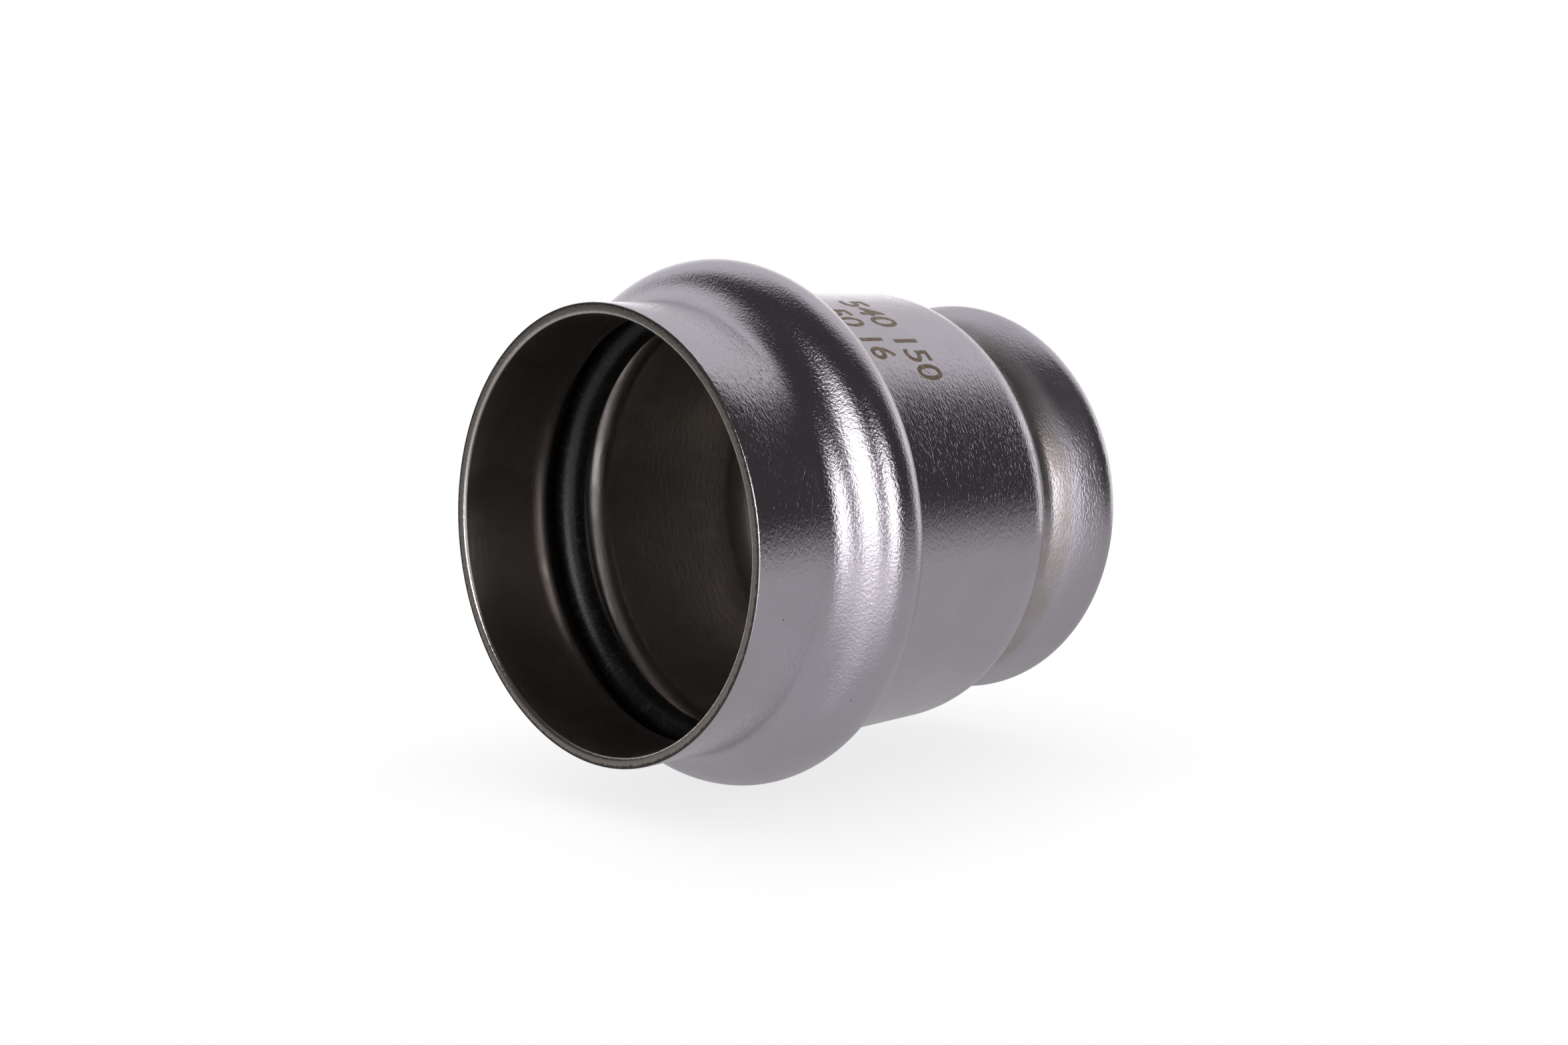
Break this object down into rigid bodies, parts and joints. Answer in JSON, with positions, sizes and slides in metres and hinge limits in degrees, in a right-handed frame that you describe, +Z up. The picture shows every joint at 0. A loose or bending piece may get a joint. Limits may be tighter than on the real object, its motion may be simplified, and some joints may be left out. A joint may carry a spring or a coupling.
{
  "type": "press fitting end cap",
  "caption": "Stainless-steel press-fit end cap that closes a tube: a one-piece drawn cup with a seal ring in its bead.",
  "frame": {"origin": "centre of the open mouth, in the plane of its rim", "axes": "+X along the tube axis from the mouth to the closed end, +Z up; the shape is turned about X"},
  "size_m": [0.0716, 0.0684, 0.0684],
  "materials": {
    "drawn_stainless": "satin, drawn and lightly scratched",
    "black_rubber": "matte"
  },
  "bodies": {
    "root": {"cap_body": "drawn_stainless", "seal_ring": "black_rubber"}
  },
  "joints": []
}
